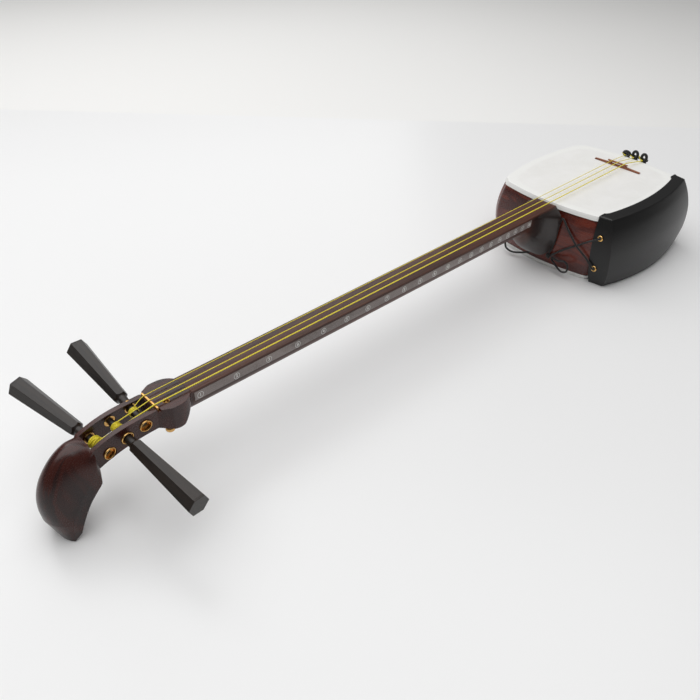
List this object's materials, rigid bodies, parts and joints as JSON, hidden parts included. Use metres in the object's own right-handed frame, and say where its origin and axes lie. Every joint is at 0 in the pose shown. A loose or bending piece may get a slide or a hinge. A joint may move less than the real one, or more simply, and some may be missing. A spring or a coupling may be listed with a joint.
{
  "type": "shamisen",
  "caption": "Three-stringed long-necked lute lying on its back, with a skin-covered box body, a curled head, turning pegs, a movable bridge and a laced arm cover.",
  "frame": {"origin": "centre of the back skin's flat face, on which the instrument lies", "axes": "+X from the head to the tail along the neck, +Y to the side of the thinnest string, +Z out of the front skin"},
  "size_m": [0.9636, 0.2309, 0.1072],
  "materials": {
    "karin": "high gloss red lacquer over figured wood",
    "skin": "smooth satin white skin",
    "neck_wood": "satin dark reddish brown, fine grain",
    "inner_wood": "plain planed wood",
    "strip_film": "thin smoky film with plain numbers in rings",
    "head_wood": "satin dark red-brown, fine grain",
    "brass": "polished gold",
    "peg_wood": "satin near-black wood",
    "yellow_silk": "twisted silk, waxed",
    "bamboo": "light reddish brown, fine fibres",
    "black_cord": "braided matt black cord",
    "cover_lacquer": "satin black moulded shell",
    "lace_cord": "round woven elastic lace"
  },
  "bodies": {
    "root": {"arm_cover": "cover_lacquer", "back_skin": "skin", "body_board_far": "karin", "body_board_head": "karin", "body_board_near": "karin", "body_board_tail": "karin", "cover_eyelet_head_1": "brass", "cover_eyelet_head_2": "brass", "cover_eyelet_tail_1": "brass", "cover_eyelet_tail_2": "brass", "front_skin": "skin", "head_pegbox_finial": "head_wood", "lacing_bow_far": "lace_cord", "lacing_bow_near": "lace_cord", "lacing_head_lower": "lace_cord", "lacing_head_upper": "lace_cord", "lacing_knot": "lace_cord", "lacing_tail": "lace_cord", "neck_lower_heel": "neck_wood", "neck_middle": "neck_wood", "neck_tenon_shaft": "inner_wood", "neck_upper": "neck_wood", "nut": "brass", "peg_ring_1_handle": "brass", "peg_ring_1_tip": "brass", "peg_ring_2_handle": "brass", "peg_ring_2_tip": "brass", "peg_ring_3_handle": "brass", "peg_ring_3_tip": "brass", "position_strip": "strip_film", "sawari_bushing": "brass", "string_1": "yellow_silk", "string_2": "yellow_silk", "string_3": "yellow_silk", "tail_cord_hitch": "black_cord", "tail_cord_turn": "black_cord", "tail_loop_1": "black_cord", "tail_loop_2": "black_cord", "tail_loop_3": "black_cord"},
    "tuning_peg_1": {"peg_1": "peg_wood", "string_winding_1": "yellow_silk"},
    "tuning_peg_2": {"peg_2": "peg_wood", "string_winding_2": "yellow_silk"},
    "tuning_peg_3": {"peg_3": "peg_wood", "string_winding_3": "yellow_silk"},
    "sawari_screw_knob": {"sawari_knob": "brass"},
    "sawari_screw_pin": {"sawari_pin": "brass"},
    "bridge_body": {"bridge": "bamboo"}
  },
  "joints": [
    {"name": "peg_1_turn", "type": "hinge", "parent": "root", "child": "tuning_peg_1", "pos_m": [-0.7736, 0, 0.0736], "axis": [-0.1897, 0.9761, 0.1057], "continuous": true},
    {"name": "peg_2_turn", "type": "hinge", "parent": "root", "child": "tuning_peg_2", "pos_m": [-0.7536, 0, 0.0806], "axis": [0.0743, -0.9881, -0.1345], "continuous": true},
    {"name": "peg_3_turn", "type": "hinge", "parent": "root", "child": "tuning_peg_3", "pos_m": [-0.7334, 0, 0.0834], "axis": [0.0173, 0.9921, 0.1244], "continuous": true},
    {"name": "sawari_knob_turn", "type": "hinge", "parent": "root", "child": "sawari_screw_knob", "pos_m": [-0.7074, -0.0088, 0.0579], "axis": [0, 0, 1], "range_deg": [0, 725]},
    {"name": "sawari_pin_rise", "type": "slide", "parent": "root", "child": "sawari_screw_pin", "axis": [0, 0, 1], "range_m": [0, 0.001]},
    {"name": "bridge_slide", "type": "slide", "parent": "root", "child": "bridge_body", "axis": [1, 0, 0], "range_m": [-0.012, 0]}
  ],
  "couplings": [
    {"joint": "sawari_knob_turn", "follows": "sawari_pin_rise", "rad_per_m": 12566}
  ]
}
